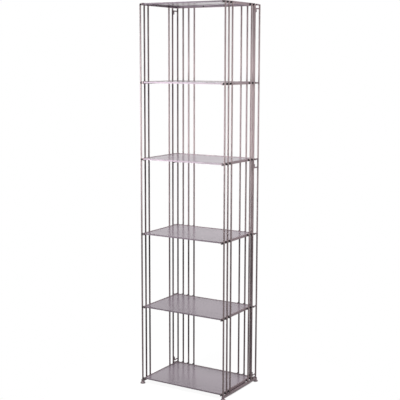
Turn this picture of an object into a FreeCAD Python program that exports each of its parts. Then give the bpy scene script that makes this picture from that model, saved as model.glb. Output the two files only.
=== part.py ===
"""Spine bookshelf: a bookcase of thin round uprights and folded sheet-metal shelves.

Three ladder frames make the case: a left and a right side frame of five uprights each, and a back
frame of eight.  In each frame the uprights stand off the horizontal flat rails on black spacers,
longer ones at the back, and are held by set screws.  The two corner uprights have slimmer steel
spacers.  Six trays are screwed between the rails.  The uprights stand on three base bars, and
four levelling feet screw up into these at the corners.  Clips welded between the fifth side
uprights and the corner uprights tie the side frames to the back frame.

Frame: millimetres, +Z up, the front faces -Y, the origin is on the floor under the middle.
"""
import FreeCAD
import Part
import Sketcher
import os
from FreeCAD import Placement, Rotation, Vector

SIZES = (
    # alias, value, what it measures
    ("frame_wide", 460.0, "between the axes of the left and right uprights"),
    ("frame_deep", 320.0, "between the axes of the front and back uprights"),
    ("floor_to_shelf", 30.0, "from the floor to the top of the bottom shelf"),
    ("shelf_pitch", 363.0, "from one shelf to the next"),
    ("rod_dia", 8.0, "upright"),
    ("rod_below_top", 2.5, "from the top shelf's surface down to the uprights' ends"),
    ("rod_end_round", 1.0, "rounding of an upright's top end"),
    ("side_step", 32.0, "between neighbouring uprights of a side frame"),
    ("side_last", 46.0, "from the fifth side upright to the corner upright"),
    ("back_step", 32.5, "between neighbouring uprights of the back frame"),
    ("rail_thick", 5.0, "flat rail"),
    ("rail_above", 1.5, "from the shelf's surface up to the rail's top edge"),
    ("rail_below", 10.5, "from the shelf's surface down to the rail's bottom edge"),
    ("rail_past", 4.0, "from the end upright's axis to the rail's end"),
    ("ear_high", 8.0, "narrowed end of a back rail, level with the spacers"),
    ("side_gap", 6.0, "between a side frame's upright and its rail"),
    ("back_gap", 23.0, "between a back upright and its rail"),
    ("spacer_dia", 9.5, "spacer"),
    ("corner_spacer_dia", 7.0, "spacer of a corner upright"),
    ("spacer_drop", 5.0, "from the shelf's surface down to the spacer's axis"),
    ("set_screw_dia", 4.0, "set screw through rail and spacer"),
    ("set_screw_reach", 3.5, "the set screw's reach into the upright"),
    ("thread_clear", 0.1, "radial room around a thread"),
    ("sheet_thick", 1.5, "tray sheet"),
    ("sheet_round", 1.2, "outer bend along the tray's top edges"),
    ("flange_high", 9.0, "folded side and back edges of the tray, from its surface down"),
    ("lip_high", 7.0, "folded front edge of the tray, from its surface down"),
    ("tray_clear", 0.4, "between a tray and the rails around it"),
    ("tray_front", 1.0, "from the front uprights' axes back to the tray's front face"),
    ("shelf_screw_dia", 4.0, "screw that holds a tray"),
    ("shelf_head_dia", 7.0, "its head"),
    ("shelf_head_high", 2.2, "height of its head"),
    ("shelf_screw_drop", 5.2, "from the shelf's surface down to its axis"),
    ("side_screw_off", 55.0, "side screws, from the middle of the frame"),
    ("back_screw_off", 60.0, "back screws, from the middle of the frame"),
    ("foot_dia", 24.0, "foot pad"),
    ("foot_rim", 3.5, "height of the foot pad's upright rim"),
    ("foot_high", 10.0, "the foot below the base bar"),
    ("foot_neck", 11.0, "the foot where it meets the base bar"),
    ("stem_dia", 5.0, "threaded stem of the foot"),
    ("stem_high", 9.5, "the stem above the foot's neck"),
    ("stem_clear", 0.1, "radial room around the stem"),
    ("base_wide", 10.0, "base bar"),
    ("base_high", 10.0, "height of the base bar"),
    ("base_past", 6.0, "from the end upright's axis to the base bar's end"),
    ("base_clear", 0.4, "between the side and back base bars"),
    ("clip_thick", 2.0, "corner clip plate"),
    ("clip_high", 6.0, "height of the clip's strap"),
    ("clip_tab_wide", 10.0, "tab"),
    ("clip_tab_high", 14.0, "the tab below or above the strap"),
    ("clip_tab_off", 1.0, "from the fifth upright's back to the tab's near edge"),
    ("clip_hole_dia", 4.5, "hole in the tab"),
    ("clip_hole_in", 5.0, "from the tab's free edge to its hole"),
    ("clip_top_drop", 26.0, "top clip, from the top shelf's surface down to the strap's bottom edge"),
    ("clip_mid_drop", 48.0, "middle clip, from the fourth shelf's surface down to the strap's bottom edge"),
    ("clip_low_rise", 6.0, "bottom clip, from the bottom shelf's surface up to the strap's bottom edge"),
)
KNOWN = {alias for alias, _value, _note in SIZES}

SHELVES = ("bottom_shelf", "shelf_2", "shelf_3", "shelf_4", "shelf_5", "top_shelf")
TOP = len(SHELVES) - 1
MIDDLE = 3                      # the shelf that the middle clips hang under, the bottom one being 0

# Places that several pieces share, as expressions on the sheet.
SIDE_AXIS = "frame_wide / 2"
BACK_AXIS = "frame_deep / 2"
SIDE_FACE = "( rod_dia / 2 + side_gap )"                    # from a side upright's axis to its rail
SIDE_INNER = "( rod_dia / 2 + side_gap + rail_thick )"      # and to the rail's inner face
BACK_FACE = "( rod_dia / 2 + back_gap )"                    # the same for the back frame
BACK_INNER = "( rod_dia / 2 + back_gap + rail_thick )"
RAIL_HIGH = "( rail_above + rail_below )"
ROD_BOTTOM = "( foot_high + base_high )"
SIDE_RAIL_LONG = "( frame_deep + rail_past - " + BACK_INNER + " - tray_clear )"
SIDE_BASE_LONG = "( frame_deep + base_past - base_wide / 2 - base_clear )"


def level(index):
    """Expression for the height of a shelf's surface, counted from the bottom shelf as 0."""
    return "( floor_to_shelf + %d * shelf_pitch )" % index


ROD_LONG = "( %s - rod_below_top - %s )" % (level(TOP), ROD_BOTTOM)
# Corner clips: name, height of the strap's bottom edge, and whether its tab stands up.
CLIPS = (
    ("top", level(TOP) + " - clip_top_drop", False),
    ("middle", level(MIDDLE) + " - clip_mid_drop", True),
    ("bottom", level(0) + " + clip_low_rise", True),
)

doc = FreeCAD.newDocument("spine_bookshelf")
sheet = doc.addObject("Spreadsheet::Sheet", "sizes")
for row, (alias, value, note) in enumerate(SIZES, start=1):
    sheet.set("A%d" % row, note)
    sheet.set("B%d" % row, str(value))
    sheet.setAlias("B%d" % row, alias)
doc.recompute()
nodes = {}


def cells(text):
    """Point the aliases in an expression at the sheet; its words stand apart."""
    return " ".join("sizes." + word if word in KNOWN else word for word in text.split())


def number(text):
    """Work out an expression as a number of millimetres."""
    return float(sheet.evalExpression(cells(text)))


def drive(target, path, text):
    """Bind one property of an object to the sheet."""
    target.setExpression(path, cells(text))


def place(target, across, along, upward, turn=0.0):
    """Bind an object's place to the sheet, after turning it about the vertical."""
    target.Placement = Placement(Vector(), Rotation(Vector(0, 0, 1), turn))
    drive(target, "Placement.Base.x", across)
    drive(target, "Placement.Base.y", along)
    drive(target, "Placement.Base.z", upward)


def new_body(label):
    """Start a sub-part's body, which is a node of its own."""
    body = doc.addObject("PartDesign::Body", "body_" + label)
    body.Label = label
    nodes[label] = body
    return body


def new_sketch(body, role, name, offset=None):
    """Attach an empty sketch to one of the body's origin planes, moved along its normal if asked."""
    sketch = body.newObject("Sketcher::SketchObject", "%s_%s" % (name, body.Label))
    plane = next(item for item in body.Origin.OriginFeatures if item.Role == role)
    sketch.AttachmentSupport = (plane, [""])
    sketch.MapMode = "FlatFace"
    if offset is not None:
        drive(sketch, "AttachmentOffset.Base.z", offset)
    return sketch


def hold(sketch, geometry, point, across, upward):
    """Hold a point of a sketch at a distance from the origin along each axis; "0" is on the axis."""
    for kind, text, axis in (("DistanceX", across, -2), ("DistanceY", upward, -1)):
        if text == "0":
            sketch.addConstraint(Sketcher.Constraint("PointOnObject", geometry, point, axis))
        else:
            drive_constraint(sketch, text, kind, -1, 1, geometry, point)


def drive_constraint(sketch, text, kind, *what):
    """Add a dimension to a sketch, bound to the sheet."""
    index = sketch.addConstraint(Sketcher.Constraint(kind, *what, number(text)))
    sketch.renameConstraint(index, "size%d" % index)
    drive(sketch, "Constraints.size%d" % index, text)


def outline(sketch, corners):
    """Draw a closed outline through corners, each a pair of expressions from the sketch's origin."""
    spots = [Vector(number(across), number(upward), 0) for across, upward in corners]
    first = sketch.GeometryCount
    for start, end in zip(spots, spots[1:] + spots[:1]):
        sketch.addGeometry(Part.LineSegment(start, end))
    for index, (across, upward) in enumerate(corners):
        last = first + (index - 1) % len(corners)
        sketch.addConstraint(Sketcher.Constraint("Coincident", last, 2, first + index, 1))
        hold(sketch, first + index, 1, across, upward)


def rectangle(sketch, wide, high):
    """Draw a rectangle with one corner on the sketch's origin."""
    outline(sketch, (("0", "0"), (wide, "0"), (wide, high), ("0", high)))


def circle(sketch, across, upward, diameter):
    """Draw a circle with its centre and diameter bound to the sheet."""
    centre = Vector(number(across), number(upward), 0)
    index = sketch.addGeometry(Part.Circle(centre, Vector(0, 0, 1), number(diameter) / 2))
    drive_constraint(sketch, diameter, "Diameter", index)
    hold(sketch, index, 3, across, upward)


def extrude(kind, body, sketch, length, backwards=False):
    """Pad a sketch onto the body, or pocket it out."""
    feature = body.newObject("PartDesign::" + kind, "%s_%s" % (kind.lower(), sketch.Name))
    feature.Profile = sketch
    feature.Reversed = backwards
    drive(feature, "Length", length)
    return feature


def step_up(body, feature, step, count):
    """Repeat a feature at even steps up the body."""
    pattern = body.newObject("PartDesign::LinearPattern", "steps_" + body.Label)
    axis = next(item for item in body.Origin.OriginFeatures if item.Role == "Z_Axis")
    pattern.Originals = [feature]
    pattern.Direction = (axis, [""])
    drive(pattern, "Length", "%s * %d" % (step, count - 1))
    pattern.Occurrences = count
    body.Tip = pattern


def edges_where(shape, test):
    """Names of a shape's edges whose middle passes a test."""
    return ["Edge%d" % (index + 1) for index, edge in enumerate(shape.Edges)
            if test(edge.CenterOfMass)]


def round_edges(body, feature, test, radius):
    """Round the edges of the body's last feature that pass a test."""
    doc.recompute()
    rounding = body.newObject("PartDesign::Fillet", "rounding_" + body.Label)
    rounding.Base = (feature, edges_where(feature.Shape, test))
    drive(rounding, "Radius", radius)


def upright(label, across, along, turn):
    """One round upright, with a blind hole at each shelf for the set screw that comes from local +X."""
    body = new_body(label)
    section = new_sketch(body, "XY_Plane", "section")
    circle(section, "0", "0", "rod_dia")
    rod = extrude("Pad", body, section, ROD_LONG)
    top = number(ROD_LONG)
    round_edges(body, rod, lambda middle: middle.z > top - 0.01, "rod_end_round")
    hole = new_sketch(body, "YZ_Plane", "hole")
    circle(hole, "0", "floor_to_shelf - spacer_drop - " + ROD_BOTTOM,
           "set_screw_dia + 2 * thread_clear")
    first = extrude("Pocket", body, hole, "rod_dia", True)
    step_up(body, first, "shelf_pitch", len(SHELVES))
    place(body, across, along, ROD_BOTTOM, turn)


def side_rod_places():
    """Distances of a side frame's uprights from the front one, front to back."""
    from_back = ("frame_deep - side_last - side_step", "frame_deep - side_last")
    return ("0", "side_step", "2 * side_step") + from_back


def back_rod_places():
    """Distances of the back frame's uprights from the left corner, left to right."""
    left = ("0", "back_step", "2 * back_step", "3 * back_step")
    right = tuple("frame_wide - %d * back_step" % steps for steps in (3, 2, 1, 0))
    return left + right


def side_rail(label, shelf, side):
    """A side frame's flat rail, with a hole at each upright and two for the tray's screws."""
    body = new_body(label)
    face = new_sketch(body, "YZ_Plane", "face")
    rectangle(face, SIDE_RAIL_LONG, RAIL_HIGH)
    for spot in side_rod_places():
        circle(face, "rail_past + " + spot, "rail_below - spacer_drop",
               "set_screw_dia + 2 * thread_clear")
    for sign in "-+":
        circle(face, "rail_past + %s %s side_screw_off" % (BACK_AXIS, sign),
               "rail_below - shelf_screw_drop", "shelf_screw_dia + 2 * thread_clear")
    extrude("Pad", body, face, "rail_thick")
    across = SIDE_AXIS + " - " + SIDE_INNER if side > 0 else SIDE_FACE + " - " + SIDE_AXIS
    place(body, across, "0 - %s - rail_past" % BACK_AXIS, "%s - rail_below" % level(shelf))


def back_rail(label, shelf):
    """A back frame's flat rail; past the side rails it narrows to an ear for the corner upright."""
    body = new_body(label)
    face = new_sketch(body, "XZ_Plane", "face")
    ear = "( rail_past + %s )" % SIDE_FACE
    far = "( frame_wide + 2 * rail_past )"
    ear_low = "( rail_below - spacer_drop - ear_high / 2 )"
    ear_top = "( rail_below - spacer_drop + ear_high / 2 )"
    outline(face, (
        (ear, "0"), (far + " - " + ear, "0"), (far + " - " + ear, ear_low), (far, ear_low),
        (far, ear_top), (far + " - " + ear, ear_top), (far + " - " + ear, RAIL_HIGH),
        (ear, RAIL_HIGH), (ear, ear_top), ("0", ear_top), ("0", ear_low), (ear, ear_low)))
    for spot in back_rod_places():
        circle(face, "rail_past + " + spot, "rail_below - spacer_drop",
               "set_screw_dia + 2 * thread_clear")
    for sign in "-+":
        circle(face, "rail_past + %s %s back_screw_off" % (SIDE_AXIS, sign),
               "rail_below - shelf_screw_drop", "shelf_screw_dia + 2 * thread_clear")
    extrude("Pad", body, face, "rail_thick")
    place(body, "0 - %s - rail_past" % SIDE_AXIS, "%s - %s" % (BACK_AXIS, BACK_FACE),
          "%s - rail_below" % level(shelf))


def tray(label, shelf):
    """A shelf: one sheet with all four edges folded down, and screw holes in all but the front lip."""
    body = new_body(label)
    wide = "( frame_wide - 2 * %s - 2 * tray_clear )" % SIDE_INNER
    deep = "( frame_deep - tray_front - %s - tray_clear )" % BACK_INNER
    blank = new_sketch(body, "XY_Plane", "blank")
    rectangle(blank, wide, deep)
    block = extrude("Pad", body, blank, "flange_high")
    round_edges(body, block, lambda middle: middle.z > 0.01, "sheet_round")
    inside = new_sketch(body, "XY_Plane", "inside")
    outline(inside, (("sheet_thick", "sheet_thick"), (wide + " - sheet_thick", "sheet_thick"),
                     (wide + " - sheet_thick", deep + " - sheet_thick"),
                     ("sheet_thick", deep + " - sheet_thick")))
    extrude("Pocket", body, inside, "flange_high - sheet_thick", True)
    trim = new_sketch(body, "XZ_Plane", "front_trim")
    rectangle(trim, wide, "flange_high - lip_high")
    extrude("Pocket", body, trim, "sheet_thick")
    up = "flange_high - shelf_screw_drop"
    sides = new_sketch(body, "YZ_Plane", "side_holes")
    for sign in "-+":
        circle(sides, "%s - tray_front %s side_screw_off" % (BACK_AXIS, sign), up,
               "shelf_screw_dia + 2 * thread_clear")
    extrude("Pocket", body, sides, wide, True)
    back = new_sketch(body, "XZ_Plane", "back_holes", "0 - %s / 2" % deep)
    for sign in "-+":
        circle(back, "%s / 2 %s back_screw_off" % (wide, sign), up,
               "shelf_screw_dia + 2 * thread_clear")
    extrude("Pocket", body, back, deep)
    place(body, "0 - %s / 2" % wide, "tray_front - " + BACK_AXIS, "%s - flange_high" % level(shelf))


def base_bar(label, long, holes, across, along):
    """A flat bar that the uprights stand on, with a hole for each foot's stem.

    The bar's size and holes are pairs of expressions from its corner at the front left.
    """
    body = new_body(label)
    plan = new_sketch(body, "XY_Plane", "plan")
    rectangle(plan, *long)
    for spot in holes:
        circle(plan, *spot, "stem_dia + 2 * stem_clear")
    extrude("Pad", body, plan, "base_high")
    place(body, across, along, "foot_high")


def foot(label, across, along):
    """A levelling foot, turned in one piece: a pad, a cone and a threaded stem, screwed right in."""
    body = new_body(label)
    profile = new_sketch(body, "XZ_Plane", "profile")
    outline(profile, (
        ("0", "0"), ("foot_dia / 2", "0"), ("foot_dia / 2", "foot_rim"),
        ("foot_neck / 2", "foot_high"), ("stem_dia / 2", "foot_high"),
        ("stem_dia / 2", "foot_high + stem_high"), ("0", "foot_high + stem_high")))
    turned = body.newObject("PartDesign::Revolution", "turned_" + label)
    turned.Profile = profile
    turned.ReferenceAxis = (profile, ["V_Axis"])
    turned.Angle = 360
    place(body, across, along, "0")


def clip(label, height, standing, side):
    """A corner clip: a strap welded edge-on between two uprights, with a drilled tab."""
    body = new_body(label)
    face = new_sketch(body, "YZ_Plane", "face")
    long = "( side_last - rod_dia )"
    near = "clip_tab_off"
    far = "( clip_tab_off + clip_tab_wide )"
    if standing:
        low, tall, hole = "0", "( clip_high + clip_tab_high )", "clip_high + clip_tab_high - clip_hole_in"
        outline(face, (("0", "0"), (long, "0"), (long, "clip_high"), (far, "clip_high"),
                       (far, tall), (near, tall), (near, "clip_high"), ("0", "clip_high")))
    else:
        low, tall, hole = "clip_tab_high", "( clip_tab_high + clip_high )", "clip_hole_in"
        outline(face, (("0", low), (near, low), (near, "0"), (far, "0"), (far, low), (long, low),
                       (long, tall), ("0", tall)))
    circle(face, near + " + clip_tab_wide / 2", hole, "clip_hole_dia")
    extrude("Pad", body, face, "clip_thick")
    place(body, "%d * %s - clip_thick / 2" % (side, SIDE_AXIS),
          "%s - side_last + rod_dia / 2" % BACK_AXIS, height + " - " + low)


def cylinder(name, diameter, long, start="0"):
    """A plain cylinder along +X from start, for the hardware."""
    solid = doc.addObject("Part::Cylinder", name)
    drive(solid, "Radius", diameter + " / 2")
    drive(solid, "Height", long)
    solid.Placement = Placement(Vector(), Rotation(Vector(0, 1, 0), 90))
    drive(solid, "Placement.Base.x", start)
    return solid


def screw(name, diameter, long, head_dia, head_high):
    """A button-head screw along +X with its head's seat at the origin, and a square-edged socket."""
    shank = cylinder(name + "_shank", diameter, long)
    head = doc.addObject("Part::Cone", name + "_head")
    drive(head, "Radius1", head_dia + " / 2")
    drive(head, "Radius2", head_dia + " / 2 - " + head_high + " / 2")
    drive(head, "Height", head_high)
    head.Placement = Placement(Vector(), Rotation(Vector(0, 1, 0), -90))
    whole = doc.addObject("Part::Fuse", name + "_whole")
    whole.Base, whole.Tool = head, shank
    key = doc.addObject("Part::Prism", name + "_key")
    key.Polygon = 6
    drive(key, "Circumradius", diameter + " * 0.36")
    drive(key, "Height", head_high)
    key.Placement = Placement(Vector(), Rotation(Vector(0, 1, 0), 90))
    drive(key, "Placement.Base.x", "0 - %s * 1.4" % head_high)
    made = doc.addObject("Part::Cut", name)
    made.Base, made.Tool = whole, key
    return made


def spacer(name, diameter, face):
    """A spacer along +X from an upright's axis to the rail's face, hollowed to clasp the upright."""
    tube = cylinder(name + "_outside", diameter, face)
    bore = cylinder(name + "_bore", "( set_screw_dia + 2 * thread_clear )", face)
    saddle = doc.addObject("Part::Cylinder", name + "_saddle")
    drive(saddle, "Radius", "rod_dia / 2")
    drive(saddle, "Height", "2 * " + diameter)
    drive(saddle, "Placement.Base.z", "0 - " + diameter)
    hollow = doc.addObject("Part::Fuse", name + "_hollow")
    hollow.Base, hollow.Tool = bore, saddle
    made = doc.addObject("Part::Cut", name)
    made.Base, made.Tool = tube, hollow
    return made


def set_screw(name, gap):
    """A set screw along +X from inside an upright, over the gap, to its rail's inner face."""
    return cylinder(name, "set_screw_dia", "rail_thick + %s + set_screw_reach" % gap,
                    "rod_dia / 2 - set_screw_reach")


def group(label, *runs):
    """Hardware as separate solids in one node; each run is a piece and the places of its copies."""
    doc.recompute()
    copies = []
    for piece, spots in runs:
        for spot in spots:
            copy = piece.Shape.copy()
            copy.Placement = spot.multiply(copy.Placement)
            copies.append(copy)
    together = doc.addObject("Part::Feature", "group_" + label)
    together.Shape = Part.makeCompound(copies)
    together.Label = label
    nodes[label] = together


def spot(across, along, upward, turn):
    """A place for a piece of hardware, turned about the vertical."""
    return Placement(Vector(across, along, upward), Rotation(Vector(0, 0, 1), turn))


def crossings(labels):
    """The places where uprights meet their rails, facing the rails."""
    places = []
    for label in labels:
        rod = nodes[label].Placement
        for index in range(len(SHELVES)):
            height = number("%s - spacer_drop" % level(index))
            places.append(Placement(Vector(rod.Base.x, rod.Base.y, height), rod.Rotation))
    return places


# Uprights.  The side frames' ones face their rails across the shelf, the back frame's face forward.
side_rods, back_rods = [], []
for name, sign, turn in (("left", -1, 0), ("right", 1, 180)):
    for index, along in enumerate(side_rod_places(), start=1):
        label = "%s_upright_%d" % (name, index)
        upright(label, "%d * %s" % (sign, SIDE_AXIS), "%s - %s" % (along, BACK_AXIS), turn)
        side_rods.append(label)
for index, across in enumerate(back_rod_places(), start=1):
    label = "back_upright_%d" % index
    upright(label, "%s - %s" % (across, SIDE_AXIS), BACK_AXIS, -90)
    back_rods.append(label)

for index, label in enumerate(SHELVES):
    side_rail("left_rail_%d" % (index + 1), index, -1)
    side_rail("right_rail_%d" % (index + 1), index, 1)
    back_rail("back_rail_%d" % (index + 1), index)
    tray(label, index)

bar_hole = "base_wide / 2"
for name, sign in (("left", -1), ("right", 1)):
    base_bar(name + "_base_bar", ("base_wide", SIDE_BASE_LONG), ((bar_hole, "base_past"),),
             "%d * %s - base_wide / 2" % (sign, SIDE_AXIS), "0 - %s - base_past" % BACK_AXIS)
base_bar("back_base_bar", ("frame_wide + 2 * base_past", "base_wide"),
         (("base_past", bar_hole), ("base_past + frame_wide", bar_hole)),
         "0 - %s - base_past" % SIDE_AXIS, BACK_AXIS + " - base_wide / 2")
for name, sign in (("left", -1), ("right", 1)):
    foot("front_%s_foot" % name, "%d * %s" % (sign, SIDE_AXIS), "0 - " + BACK_AXIS)
    foot("back_%s_foot" % name, "%d * %s" % (sign, SIDE_AXIS), BACK_AXIS)
    for where, height, standing in CLIPS:
        clip("%s_%s_clip" % (where, name), height, standing, sign)
doc.recompute()

# Hardware: one spacer and one set screw where each upright meets each rail.
side_spots = crossings(side_rods)
back_spots, corner_spots = crossings(back_rods[1:-1]), crossings((back_rods[0], back_rods[-1]))
group("upright_spacers", (spacer("side_spacer", "spacer_dia", SIDE_FACE), side_spots),
      (spacer("back_spacer", "spacer_dia", BACK_FACE), back_spots))
group("corner_spacers", (spacer("corner_spacer", "corner_spacer_dia", BACK_FACE), corner_spots))
group("set_screws", (set_screw("side_set_screw", "side_gap"), side_spots),
      (set_screw("back_set_screw", "back_gap"), back_spots + corner_spots))

flange_x = number("%s - %s - tray_clear - sheet_thick" % (SIDE_AXIS, SIDE_INNER))
flange_y = number("%s - %s - tray_clear - sheet_thick" % (BACK_AXIS, BACK_INNER))
side_off = number("side_screw_off")
back_off = number("back_screw_off")
tray_spots = []
for index in range(len(SHELVES)):
    height = number("%s - shelf_screw_drop" % level(index))
    for sign in (-1, 1):
        tray_spots.append(spot(-flange_x, sign * side_off, height, 180))
        tray_spots.append(spot(flange_x, sign * side_off, height, 0))
        tray_spots.append(spot(sign * back_off, flange_y, height, 90))
group("shelf_screws",
      (screw("shelf_screw", "shelf_screw_dia", "sheet_thick + tray_clear + rail_thick",
             "shelf_head_dia", "shelf_head_high"), tray_spots))
doc.recompute()

for item in doc.Objects:
    if "Invalid" in item.State or "Error" in item.State:
        raise RuntimeError("%s failed: %s" % (item.Name, item.State))
os.makedirs("parts", exist_ok=True)
for label, item in nodes.items():
    if item.Shape.isNull() or not item.Shape.isValid():
        raise RuntimeError(label + " has no valid shape")
    item.Shape.exportStep("parts/%s.step" % label)
print(len(nodes), "nodes written")
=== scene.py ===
"""Looks for an open bookshelf: round steel uprights, folded sheet shelves, satin powder coat.

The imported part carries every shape. This script gives each piece its finish, and sets the studio,
the lamps and the camera.
"""
from __future__ import annotations

import logging
import math
from dataclasses import dataclass, field
from enum import Enum

import bmesh
import bpy
from mathutils import Matrix, Vector


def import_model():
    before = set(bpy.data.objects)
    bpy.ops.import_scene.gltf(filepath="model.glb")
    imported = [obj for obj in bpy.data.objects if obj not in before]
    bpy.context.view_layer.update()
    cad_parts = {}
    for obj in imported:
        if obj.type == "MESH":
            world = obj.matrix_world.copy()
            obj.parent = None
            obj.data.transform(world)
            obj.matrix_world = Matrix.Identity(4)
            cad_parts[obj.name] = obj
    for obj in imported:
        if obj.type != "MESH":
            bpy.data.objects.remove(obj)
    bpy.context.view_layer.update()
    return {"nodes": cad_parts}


LOG = logging.getLogger("bookshelf")
MM = 0.001
WHITE = (1.0, 1.0, 1.0, 1.0)
MIX_FIRST, MIX_SECOND = 6, 7        # a Mix node's two colour inputs
MIX_RESULT = 2                      # and its colour output
SIDES = ("left", "right")
CLIP_HEIGHTS = ("top", "middle", "bottom")
SHELF_NAMES = ("bottom_shelf", "shelf_2", "shelf_3", "shelf_4", "shelf_5", "top_shelf")


def linear(code: str) -> tuple[float, float, float, float]:
    """Turn an sRGB hex code into the linear colour that the shaders take.

    Args:
        code: six hex digits, with or without a leading hash.

    Returns:
        The linear red, green and blue with an alpha of 1.
    """
    digits = code.lstrip("#")
    parts = [int(digits[at:at + 2], 16) / 255 for at in (0, 2, 4)]
    # The numbers are those of the sRGB standard.
    flat = [p / 12.92 if p <= 0.04045 else ((p + 0.055) / 1.055) ** 2.4 for p in parts]
    return (*flat, 1.0)


def add_node(tree: bpy.types.NodeTree, kind: str, settings: dict | None = None,
             links: dict | None = None) -> bpy.types.Node:
    """Add a node with its settings and incoming links.

    Args:
        tree: the node tree of a material or of the world.
        kind: the node's type name.
        settings: values by input name or number, or by attribute name where no input has it.
        links: output sockets by the input name or number that they feed.

    Returns:
        The new node.
    """
    node = tree.nodes.new(kind)
    for key, value in (settings or {}).items():
        if isinstance(key, int) or key in node.inputs:
            node.inputs[key].default_value = value
        else:
            setattr(node, key, value)
    for key, socket in (links or {}).items():
        tree.links.new(socket, node.inputs[key])
    return node


def blank_material(name: str) -> tuple[bpy.types.Material, bpy.types.Node]:
    """Make an empty node material.

    Args:
        name: the material's name.

    Returns:
        The material and its output node.
    """
    made = bpy.data.materials.new(name)
    made.use_nodes = True
    made.node_tree.nodes.clear()
    return made, made.node_tree.nodes.new("ShaderNodeOutputMaterial")


def shown_white(tree: bpy.types.NodeTree) -> bpy.types.NodeSocket:
    """Tell the rays that should find the surround white from those that carry its light.

    Args:
        tree: the node tree of the floor's material or of the world.

    Returns:
        A socket that is 1 for camera, glossy and transmission rays, and 0 for the others.
    """
    path = add_node(tree, "ShaderNodeLightPath")
    seen = add_node(tree, "ShaderNodeMath", {"operation": "MAXIMUM"},
                    {0: path.outputs["Is Camera Ray"], 1: path.outputs["Is Glossy Ray"]})
    shown = add_node(tree, "ShaderNodeMath", {"operation": "MAXIMUM"},
                     {0: seen.outputs[0], 1: path.outputs["Is Transmission Ray"]})
    return shown.outputs[0]


@dataclass(frozen=True)
class PowderCoat:
    """Polyester powder coat baked on steel, sprayed from a gun.

    The baked film gives a satin sheen, a faint orange-peel ripple and a slow drift in tone where
    the film is thicker.
    """

    name: str
    tint: str                       # the coat where the film is thin
    deep: str                       # and where it is thick
    roughness: float = 0.34
    less_rough: float = 0.03        # the roughness falls by this where the film is thin
    more_rough: float = 0.05        # and rises by this where it is thick
    sheen: float = 0.5              # specular level of the baked film
    ior: float = 1.52               # of polyester
    drift_mm: float = 180.0         # width of the slow drift in tone
    speck_mm: float = 0.7           # fine grit of the pigment
    speck_share: float = 0.28       # of the grit in the tone, set against the drift
    thin_at: float = 0.42           # drift and grit added up, where the tone starts to deepen
    thick_at: float = 0.86          # and where it is deepest
    peel_mm: float = 2.4            # real peel is 1 to 2 mm wide; drawn a little coarser to show
    peel_depth_mm: float = 0.03
    peel_strength: float = 0.35

    def material(self) -> bpy.types.Material:
        """Build the coat.

        Returns:
            The material.
        """
        made, output = blank_material(self.name)
        tree = made.node_tree
        place = add_node(tree, "ShaderNodeTexCoord").outputs["Object"]
        drift = add_node(tree, "ShaderNodeTexNoise",
                         {"Scale": 1 / (self.drift_mm * MM), "Detail": 3.0, "Roughness": 0.55},
                         {"Vector": place})
        speck = add_node(tree, "ShaderNodeTexNoise",
                         {"Scale": 1 / (self.speck_mm * MM), "Detail": 2.0, "Roughness": 0.6},
                         {"Vector": place})
        mottle = add_node(tree, "ShaderNodeMath",
                          {"operation": "MULTIPLY_ADD", 1: self.speck_share},
                          {0: speck.outputs["Fac"], 2: drift.outputs["Fac"]})
        spread = add_node(tree, "ShaderNodeMapRange",
                          {"From Min": self.thin_at, "From Max": self.thick_at},
                          {"Value": mottle.outputs[0]})
        colour = add_node(tree, "ShaderNodeMix",
                          {"data_type": "RGBA", MIX_FIRST: linear(self.tint),
                           MIX_SECOND: linear(self.deep)},
                          {0: spread.outputs[0]})
        gloss = add_node(tree, "ShaderNodeMapRange",
                         {"To Min": self.roughness - self.less_rough,
                          "To Max": self.roughness + self.more_rough},
                         {"Value": drift.outputs["Fac"]})
        peel = add_node(tree, "ShaderNodeTexNoise",
                        {"Scale": 1 / (self.peel_mm * MM), "Detail": 1.5, "Roughness": 0.45},
                        {"Vector": place})
        ripple = add_node(tree, "ShaderNodeBump",
                          {"Strength": self.peel_strength, "Distance": self.peel_depth_mm * MM},
                          {"Height": peel.outputs["Fac"]})
        shader = add_node(tree, "ShaderNodeBsdfPrincipled",
                          {"IOR": self.ior, "Specular IOR Level": self.sheen},
                          {"Base Color": colour.outputs[MIX_RESULT],
                           "Roughness": gloss.outputs[0], "Normal": ripple.outputs[0]})
        tree.links.new(shader.outputs[0], output.inputs["Surface"])
        return made


@dataclass(frozen=True)
class MouldedNylon:
    """Near-black moulded plastic, dull, slightly grainy and paler where worn; its near-black is
    partly painted shade.
    """

    name: str
    tint: str
    worn: str
    roughness: float = 0.5
    ior: float = 1.53
    grain_mm: float = 0.9
    grain_depth_mm: float = 0.02
    grain_strength: float = 0.4
    plain_at: float = 0.35          # the grain's level where the tint starts to turn worn
    worn_at: float = 0.75           # and where it is wholly worn

    def material(self) -> bpy.types.Material:
        """Build the nylon.

        Returns:
            The material.
        """
        made, output = blank_material(self.name)
        tree = made.node_tree
        place = add_node(tree, "ShaderNodeTexCoord").outputs["Object"]
        grain = add_node(tree, "ShaderNodeTexNoise",
                         {"Scale": 1 / (self.grain_mm * MM), "Detail": 3.0}, {"Vector": place})
        spread = add_node(tree, "ShaderNodeMapRange",
                          {"From Min": self.plain_at, "From Max": self.worn_at},
                          {"Value": grain.outputs["Fac"]})
        colour = add_node(tree, "ShaderNodeMix",
                          {"data_type": "RGBA", MIX_FIRST: linear(self.tint),
                           MIX_SECOND: linear(self.worn)},
                          {0: spread.outputs[0]})
        bump = add_node(tree, "ShaderNodeBump",
                        {"Strength": self.grain_strength, "Distance": self.grain_depth_mm * MM},
                        {"Height": grain.outputs["Fac"]})
        shader = add_node(tree, "ShaderNodeBsdfPrincipled",
                          {"Roughness": self.roughness, "IOR": self.ior},
                          {"Base Color": colour.outputs[MIX_RESULT], "Normal": bump.outputs[0]})
        tree.links.new(shader.outputs[0], output.inputs["Surface"])
        return made


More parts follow.
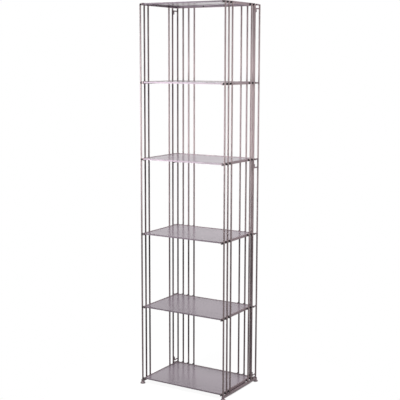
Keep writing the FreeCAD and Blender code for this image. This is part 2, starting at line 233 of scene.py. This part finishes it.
@dataclass(frozen=True)
class BlackOxideSteel:
    """Screws in black-oxide steel: a dark oiled metal, brighter where a driver has rubbed it."""

    name: str
    tint: str
    rubbed: str
    roughness: float = 0.38
    rub_mm: float = 1.6
    dark_at: float = 0.5            # the rubbing's level where the tint starts to brighten
    bright_at: float = 0.8          # and where it is brightest

    def material(self) -> bpy.types.Material:
        """Build the blackened steel.

        Returns:
            The material.
        """
        made, output = blank_material(self.name)
        tree = made.node_tree
        place = add_node(tree, "ShaderNodeTexCoord").outputs["Object"]
        rub = add_node(tree, "ShaderNodeTexNoise",
                       {"Scale": 1 / (self.rub_mm * MM), "Detail": 4.0}, {"Vector": place})
        spread = add_node(tree, "ShaderNodeMapRange",
                          {"From Min": self.dark_at, "From Max": self.bright_at},
                          {"Value": rub.outputs["Fac"]})
        colour = add_node(tree, "ShaderNodeMix",
                          {"data_type": "RGBA", MIX_FIRST: linear(self.tint),
                           MIX_SECOND: linear(self.rubbed)},
                          {0: spread.outputs[0]})
        shader = add_node(tree, "ShaderNodeBsdfPrincipled",
                          {"Metallic": 1.0, "Roughness": self.roughness},
                          {"Base Color": colour.outputs[MIX_RESULT]})
        tree.links.new(shader.outputs[0], output.inputs["Surface"])
        return made


def dress(nodes: dict[str, bpy.types.Object], names: list[str],
          material: bpy.types.Material) -> None:
    """Give CAD nodes one finish.

    Args:
        nodes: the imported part's nodes.
        names: the nodes to dress.
        material: the finish.
    """
    for name in names:
        slots = nodes[name].data.materials
        if not len(slots):
            slots.append(material)
        for at in range(len(slots)):
            slots[at] = material


@dataclass
class SideFrames:
    """The left and right ladder frames: five uprights and six rails each."""

    uprights: int = 5
    rails: int = 6
    # The uprights' tint is set a little darker than the flat bars' and the sheet's: painted shade
    # on the vertical rods.
    rod: PowderCoat = PowderCoat("powder coat on rod", "#B6A4A6", "#AA989A",
                                 roughness=0.4, sheen=0.08, drift_mm=240.0)
    bar: PowderCoat = PowderCoat("powder coat on flat bar", "#BCA8AE", "#B09CA2",
                                 roughness=0.4, sheen=0.15, drift_mm=160.0)

    def dress(self, nodes: dict[str, bpy.types.Object]) -> None:
        """Coat the frames' uprights and rails.

        Args:
            nodes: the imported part's nodes.
        """
        dress(nodes, ["%s_upright_%d" % (side, at + 1) for side in SIDES
                      for at in range(self.uprights)], self.rod.material())
        dress(nodes, ["%s_rail_%d" % (side, at + 1) for side in SIDES
                      for at in range(self.rails)], self.bar.material())
        LOG.info("side frames: %d uprights, %d rails", len(SIDES) * self.uprights,
                 len(SIDES) * self.rails)


@dataclass
class BackFrame:
    """The back ladder frame: eight uprights and six rails."""

    uprights: int = 8
    rails: int = 6
    # The back uprights take the same darker tint as the side uprights: painted shade on the
    # vertical rods.
    rod: PowderCoat = PowderCoat("powder coat on back rod", "#B6A4A6", "#AA989A",
                                 roughness=0.4, sheen=0.08, drift_mm=240.0)
    bar: PowderCoat = PowderCoat("powder coat on back bar", "#B4A0A6", "#A8949A",
                                 roughness=0.42, sheen=0.15, drift_mm=160.0)

    def dress(self, nodes: dict[str, bpy.types.Object]) -> None:
        """Coat the frame's uprights and rails.

        Args:
            nodes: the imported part's nodes.
        """
        dress(nodes, ["back_upright_%d" % (at + 1) for at in range(self.uprights)],
              self.rod.material())
        dress(nodes, ["back_rail_%d" % (at + 1) for at in range(self.rails)],
              self.bar.material())
        LOG.info("back frame: %d uprights, %d rails", self.uprights, self.rails)


@dataclass
class Trays:
    """The six folded trays."""

    names: tuple[str, ...] = SHELF_NAMES
    coat: PowderCoat = PowderCoat("powder coat on sheet", "#BBABB8", "#AF9FAC",
                                  roughness=0.22, sheen=0.40, drift_mm=260.0,
                                  peel_depth_mm=0.012)

    def dress(self, nodes: dict[str, bpy.types.Object]) -> None:
        """Coat the trays."""
        dress(nodes, list(self.names), self.coat.material())
        LOG.info("trays: %d", len(self.names))


@dataclass
class Base:
    """The three base bars and the four levelling feet."""

    bars: tuple[str, ...] = ("left_base_bar", "right_base_bar", "back_base_bar")
    feet: tuple[str, ...] = ("front_left_foot", "front_right_foot", "back_left_foot",
                             "back_right_foot")
    bar: PowderCoat = PowderCoat("powder coat on base bar", "#AE9AA0", "#A28E94",
                                 roughness=0.4, sheen=0.4, drift_mm=160.0)
    foot: PowderCoat = PowderCoat("powder coat on turned foot", "#B8A6AC", "#AC9AA0",
                                  roughness=0.42, sheen=0.4, drift_mm=60.0)

    def dress(self, nodes: dict[str, bpy.types.Object]) -> None:
        """Coat the bars and the feet.

        Args:
            nodes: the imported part's nodes.
        """
        dress(nodes, list(self.bars), self.bar.material())
        dress(nodes, list(self.feet), self.foot.material())
        LOG.info("base: %d bars, %d feet", len(self.bars), len(self.feet))


@dataclass
class Hardware:
    """Corner clips, spacers and screws."""

    clip_coat: PowderCoat = PowderCoat("powder coat on clip", "#A38F97", "#958189",
                                       roughness=0.42, sheen=0.3, drift_mm=60.0)
    tube_coat: PowderCoat = PowderCoat("powder coat on tube", "#A38F97", "#958189",
                                       roughness=0.42, sheen=0.3, drift_mm=60.0)
    # The upright spacers are drawn near-black: partly the spacers' own colour, partly painted shade
    # in the gaps between rods and rails.
    nylon: MouldedNylon = MouldedNylon("black moulded nylon", "#0F0D0E", "#1E1A1C")
    steel: BlackOxideSteel = BlackOxideSteel("black oxide steel", "#3A3738", "#77706F")

    def dress(self, nodes: dict[str, bpy.types.Object]) -> None:
        """Finish the clips, spacers and screws.

        Args:
            nodes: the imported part's nodes.
        """
        clips = ["%s_%s_clip" % (height, side) for height in CLIP_HEIGHTS for side in SIDES]
        dress(nodes, clips, self.clip_coat.material())
        dress(nodes, ["upright_spacers"], self.nylon.material())
        dress(nodes, ["corner_spacers"], self.tube_coat.material())
        dress(nodes, ["set_screws", "shelf_screws"], self.steel.material())
        LOG.info("hardware: %d clips and the screw and spacer groups", len(clips))


class LampKind(Enum):
    """What a lamp is shaped like."""

    SQUARE = "RECTANGLE"
    ROUND = "ELLIPSE"


@dataclass(frozen=True)
class Lamp:
    """A soft studio lamp aimed at a point."""

    name: str
    place: tuple[float, float, float]
    aim: tuple[float, float, float]
    wide: float
    high: float
    watts: float
    spread: float = 180.0           # degrees; a grid on the lamp makes it less
    kind: LampKind = LampKind.SQUARE

    def build(self) -> bpy.types.Object:
        """Hang the lamp.

        Returns:
            The lamp's object.
        """
        data = bpy.data.lights.new(self.name, "AREA")
        data.shape = self.kind.value
        data.size, data.size_y = self.wide, self.high
        data.energy = self.watts
        data.spread = math.radians(self.spread)
        made = bpy.data.objects.new(self.name, data)
        made.location = self.place
        way = Vector(self.aim) - Vector(self.place)
        made.rotation_euler = way.to_track_quat("-Z", "Y").to_euler()
        bpy.context.scene.collection.objects.link(made)
        return made


@dataclass
class Studio:
    """Pale floor, white surround, soft lamps and the camera."""

    floor_half: float = 14.0
    floor_drop: float = 0.005       # the feet's travel, so that they never sink into the floor
    floor_tint: str = "#8C8B8B"
    bounce_tint: str = "#6A6969"    # the floor's colour in the light that it throws back
    lift: float = 0.94              # what the floor gives off by itself, 1 being white
    dark_middle: tuple[float, float, float] = (0.0, 0.03, 0.0)  # of the unlit floor
    dark_half: tuple[float, float] = (0.222, 0.115)
    dark_edge: float = 0.02
    shadow_reach: float = 0.35      # from the middle to where the shadow starts to fade
    shadow_fade: float = 2.2        # it has gone at this many times that distance
    sky: float = 0.04               # light from the surround
    camera_place: tuple[float, float, float] = (2.330, -3.776, 1.577)
    camera_yaw: float = 0.5526      # to the left of straight ahead, radians
    camera_pitch: float = 0.1481    # below the horizon, radians
    camera_roll: float = 0.0022     # radians
    lens_px: float = 929.0          # focal length, in pixels of the frame
    frame_px: float = 400.0         # width of the frame
    lamps: tuple[Lamp, ...] = (
        Lamp("key", (-0.34, -3.00, 3.60), (-0.10, 0.0, 0.20),
             wide=0.5, high=1.2, watts=8.3, spread=60.0),
        Lamp("strip", (-0.30, -1.50, 1.35), (-0.05, 0.0, 1.35),
             wide=0.3, high=0.5, watts=2.2, spread=45.0),
        Lamp("side", (2.42, -0.10, 1.96), (0.20, 0.0, 1.30),
             wide=0.9, high=0.7, watts=29.0, kind=LampKind.ROUND),
        Lamp("back", (-2.20, 3.40, 0.30), (0.0, 0.0, 0.90),
             wide=1.4, high=0.3, watts=7.0, spread=120.0),
    )

    def build(self) -> None:
        """Set the whole studio."""
        self.build_floor()
        self.build_world()
        for lamp in self.lamps:
            lamp.build()
        self.build_camera()
        bpy.context.scene.view_settings.view_transform = "Standard"
        LOG.info("studio: floor, surround, %d lamps, camera", len(self.lamps))

    def build_floor(self) -> None:
        """Lay the pale floor."""
        shape = bmesh.new()
        bmesh.ops.create_grid(shape, x_segments=1, y_segments=1, size=self.floor_half,
                              matrix=Matrix.Translation((0.0, 0.0, -self.floor_drop)))
        mesh = bpy.data.meshes.new("floor")
        shape.to_mesh(mesh)
        shape.free()
        mesh.materials.append(self.floor_paint())
        floor = bpy.data.objects.new("floor", mesh)
        bpy.context.scene.collection.objects.link(floor)

    def floor_paint(self) -> bpy.types.Material:
        """Paint the floor, which shows white to the camera away from shadows.

        Returns:
            The material.
        """
        made, output = blank_material("pale painted floor")
        tree = made.node_tree
        place = add_node(tree, "ShaderNodeTexCoord").outputs["Object"]
        reach = add_node(tree, "ShaderNodeVectorMath", {"operation": "LENGTH"}, {0: place})
        fade = add_node(tree, "ShaderNodeMapRange",
                        {"interpolation_type": "SMOOTHSTEP", "From Min": self.shadow_reach,
                         "From Max": self.shadow_reach * self.shadow_fade},
                        {"Value": reach.outputs["Value"]})
        paint = add_node(tree, "ShaderNodeBsdfDiffuse", {"Color": linear(self.floor_tint)})
        lift = add_node(tree, "ShaderNodeEmission", {"Color": WHITE},
                        {"Strength": self.open_floor(tree, place)})
        white = add_node(tree, "ShaderNodeEmission", {"Color": WHITE, "Strength": 1.0})
        near = add_node(tree, "ShaderNodeAddShader", {},
                        {0: paint.outputs[0], 1: lift.outputs[0]})
        pale = add_node(tree, "ShaderNodeMixShader", {},
                        {0: fade.outputs[0], 1: near.outputs[0], 2: white.outputs[0]})
        bounce = add_node(tree, "ShaderNodeBsdfDiffuse", {"Color": linear(self.bounce_tint)})
        mixed = add_node(tree, "ShaderNodeMixShader", {},
                         {0: shown_white(tree), 1: bounce.outputs[0], 2: pale.outputs[0]})
        tree.links.new(mixed.outputs[0], output.inputs["Surface"])
        return made

    def open_floor(self, tree: bpy.types.NodeTree,
                   place: bpy.types.NodeSocket) -> bpy.types.NodeSocket:
        """Work out the floor's lift, which is none right under the shelves, where it is unlit.

        Args:
            tree: the floor material's node tree.
            place: the socket with the place on the floor.

        Returns:
            The socket with the lift.
        """
        moved = add_node(tree, "ShaderNodeVectorMath",
                         {"operation": "SUBTRACT", 1: self.dark_middle}, {0: place})
        away = add_node(tree, "ShaderNodeVectorMath", {"operation": "ABSOLUTE"},
                        {0: moved.outputs[0]})
        apart = add_node(tree, "ShaderNodeSeparateXYZ", {}, {0: away.outputs[0]})
        inside = [add_node(tree, "ShaderNodeMapRange",
                           {"From Min": half - self.dark_edge, "From Max": half,
                            "To Min": 1.0, "To Max": 0.0}, {"Value": apart.outputs[axis]})
                  for axis, half in zip("XY", self.dark_half)]
        both = add_node(tree, "ShaderNodeMath", {"operation": "MULTIPLY"},
                        {0: inside[0].outputs[0], 1: inside[1].outputs[0]})
        lift = add_node(tree, "ShaderNodeMath",
                        {"operation": "MULTIPLY_ADD", 1: -self.lift, 2: self.lift},
                        {0: both.outputs[0]})
        return lift.outputs[0]

    def build_world(self) -> None:
        """Light the surround evenly, and show it white to the camera and in reflections."""
        world = bpy.data.worlds.new("surround")
        bpy.context.scene.world = world
        world.use_nodes = True
        tree = world.node_tree
        tree.nodes.clear()
        output = tree.nodes.new("ShaderNodeOutputWorld")
        dim = add_node(tree, "ShaderNodeBackground", {"Color": WHITE, "Strength": self.sky})
        white = add_node(tree, "ShaderNodeBackground", {"Color": WHITE, "Strength": 1.0})
        mixed = add_node(tree, "ShaderNodeMixShader", {},
                         {0: shown_white(tree), 1: dim.outputs[0], 2: white.outputs[0]})
        tree.links.new(mixed.outputs[0], output.inputs["Surface"])

    def build_camera(self) -> None:
        """Stand the camera up at its place."""
        data = bpy.data.cameras.new("camera")
        data.lens = data.sensor_width * self.lens_px / self.frame_px
        made = bpy.data.objects.new("camera", data)
        turn = (Matrix.Rotation(self.camera_yaw, 4, "Z")
                @ Matrix.Rotation(math.pi / 2 - self.camera_pitch, 4, "X")
                @ Matrix.Rotation(self.camera_roll, 4, "Z"))
        made.matrix_world = Matrix.Translation(Vector(self.camera_place)) @ turn
        bpy.context.scene.collection.objects.link(made)
        bpy.context.scene.camera = made


Part = SideFrames | BackFrame | Trays | Base | Hardware


@dataclass
class Bookshelf:
    """The whole piece of furniture, one part of it after another."""

    parts: tuple[Part, ...] = field(
        default_factory=lambda: (SideFrames(), BackFrame(), Trays(), Base(), Hardware()))

    def dress(self, nodes: dict[str, bpy.types.Object]) -> None:
        """Finish every part."""
        for part in self.parts:
            part.dress(nodes)


def main() -> None:
    """Load the part, finish it and set the studio."""
    logging.basicConfig(level=logging.INFO, format="%(name)s: %(message)s")
    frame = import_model()
    Bookshelf().dress(frame["nodes"])
    Studio().build()


if __name__ == "__main__":
    main()
